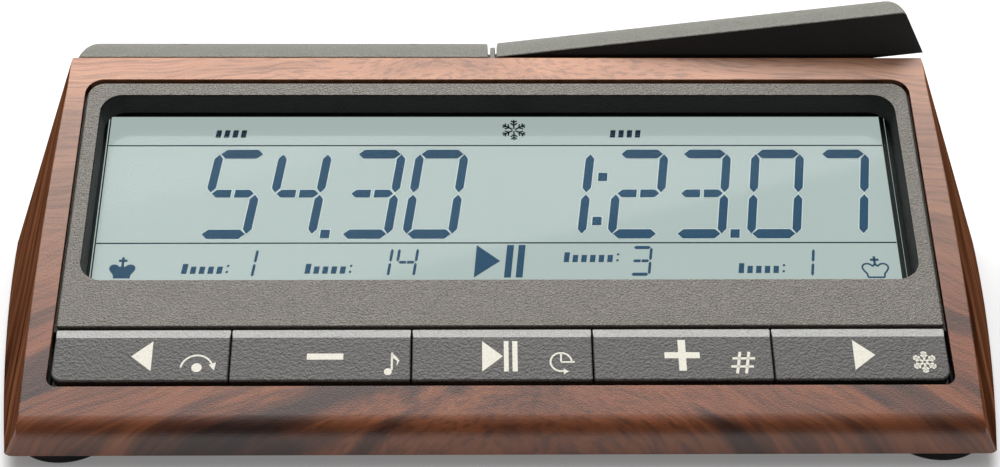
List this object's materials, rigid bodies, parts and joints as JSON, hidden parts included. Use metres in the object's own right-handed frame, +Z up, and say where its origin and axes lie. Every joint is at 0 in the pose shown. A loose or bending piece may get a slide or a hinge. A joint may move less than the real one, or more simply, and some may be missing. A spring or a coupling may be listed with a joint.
{
  "type": "chess clock",
  "caption": "Wedge-shaped digital chess clock with a display behind a window, a row of press buttons and a rocking lever across the back.",
  "frame": {"origin": "on the table under the middle of the clock's outline: the bounding box's bottom centre, level with the soles of the feet", "axes": "+X to the right seen by someone facing the display, +Y from the front edge to the back, +Z up"},
  "size_m": [0.236, 0.117, 0.0638],
  "materials": {
    "casing": "satin ABS under a printed rosewood grain film",
    "base": "fine spark-eroded texture",
    "panel": "fine speckled texture",
    "buttons": "fine speckled texture with off-white printed symbols",
    "lever": "fine speckled texture",
    "black_plastic": "moulded",
    "window": "clear polished acrylic",
    "lcd": "liquid-crystal cell with its segments on",
    "white_plastic": "white reflector film",
    "rubber": "matt",
    "circuit_board": "green solder mask on glass-epoxy",
    "steel": "bright plated",
    "cell_sleeve": "plain shrink sleeve",
    "brass": "bright spring brass"
  },
  "bodies": {
    "case": {"top_housing": "casing", "base_cover": "base", "front_panel": "panel", "display_window": "window", "lcd_glass": "lcd", "lcd_reflector": "white_plastic", "lcd_frame": "black_plastic", "connector_strip": "rubber", "main_board": "circuit_board", "processor_chip": "black_plastic", "board_screw_1": "steel", "board_screw_2": "steel", "board_screw_3": "steel", "board_screw_4": "steel", "button_mat": "rubber", "pivot_bracket": "steel", "bracket_screw_1": "steel", "bracket_screw_2": "steel", "pivot_pin": "steel", "pivot_clip": "steel", "detent_spring": "steel", "switch_board_left": "circuit_board", "switch_board_right": "circuit_board", "lever_switch_left": "black_plastic", "lever_switch_right": "black_plastic", "power_switch": "black_plastic", "buzzer": "black_plastic", "battery_cell_1": "cell_sleeve", "battery_cell_2": "cell_sleeve", "battery_spring_1": "steel", "battery_spring_2": "steel", "battery_link": "brass", "battery_contact_plus": "brass", "battery_contact_minus": "brass", "case_screw_front_left": "steel", "case_screw_front_right": "steel", "case_screw_back_left": "steel", "case_screw_back_right": "steel", "foot_front_left": "rubber", "foot_front_right": "rubber", "foot_back_left": "rubber", "foot_back_right": "rubber"},
    "rocker": {"rocker_carrier": "black_plastic", "left_lever": "lever", "right_lever": "lever", "lever_screw_left_1": "steel", "lever_screw_left_2": "steel", "lever_screw_right_1": "steel", "lever_screw_right_2": "steel"},
    "back_button": {"back_button": "buttons"},
    "minus_button": {"minus_button": "buttons"},
    "play_pause_button": {"play_pause_button": "buttons"},
    "plus_button": {"plus_button": "buttons"},
    "forward_button": {"forward_button": "buttons"},
    "power_button": {"power_button": "buttons"},
    "battery_door": {"battery_door": "base"}
  },
  "joints": [
    {"name": "rocker_pivot", "type": "hinge", "parent": "case", "child": "rocker", "pos_m": [0, 0.0415, 0.0285], "axis": [0, 1, 0], "range_deg": [0, 6.8]},
    {"name": "back_button_press", "type": "slide", "parent": "case", "child": "back_button", "axis": [0, 0.4296, -0.903], "range_m": [0, 0.0011], "stiffness_N_per_m": 250, "springref_m": -0.001},
    {"name": "minus_button_press", "type": "slide", "parent": "case", "child": "minus_button", "axis": [0, 0.4296, -0.903], "range_m": [0, 0.0011], "stiffness_N_per_m": 250, "springref_m": -0.001},
    {"name": "play_pause_button_press", "type": "slide", "parent": "case", "child": "play_pause_button", "axis": [0, 0.4296, -0.903], "range_m": [0, 0.0011], "stiffness_N_per_m": 250, "springref_m": -0.001},
    {"name": "plus_button_press", "type": "slide", "parent": "case", "child": "plus_button", "axis": [0, 0.4296, -0.903], "range_m": [0, 0.0011], "stiffness_N_per_m": 250, "springref_m": -0.001},
    {"name": "forward_button_press", "type": "slide", "parent": "case", "child": "forward_button", "axis": [0, 0.4296, -0.903], "range_m": [0, 0.0011], "stiffness_N_per_m": 250, "springref_m": -0.001},
    {"name": "power_button_press", "type": "slide", "parent": "case", "child": "power_button", "axis": [0, 0, 1], "range_m": [0, 0.001], "stiffness_N_per_m": 250, "springref_m": -0.001},
    {"name": "battery_door_slide", "type": "slide", "parent": "case", "child": "battery_door", "axis": [0, 1, 0], "range_m": [0, 0.062]}
  ]
}
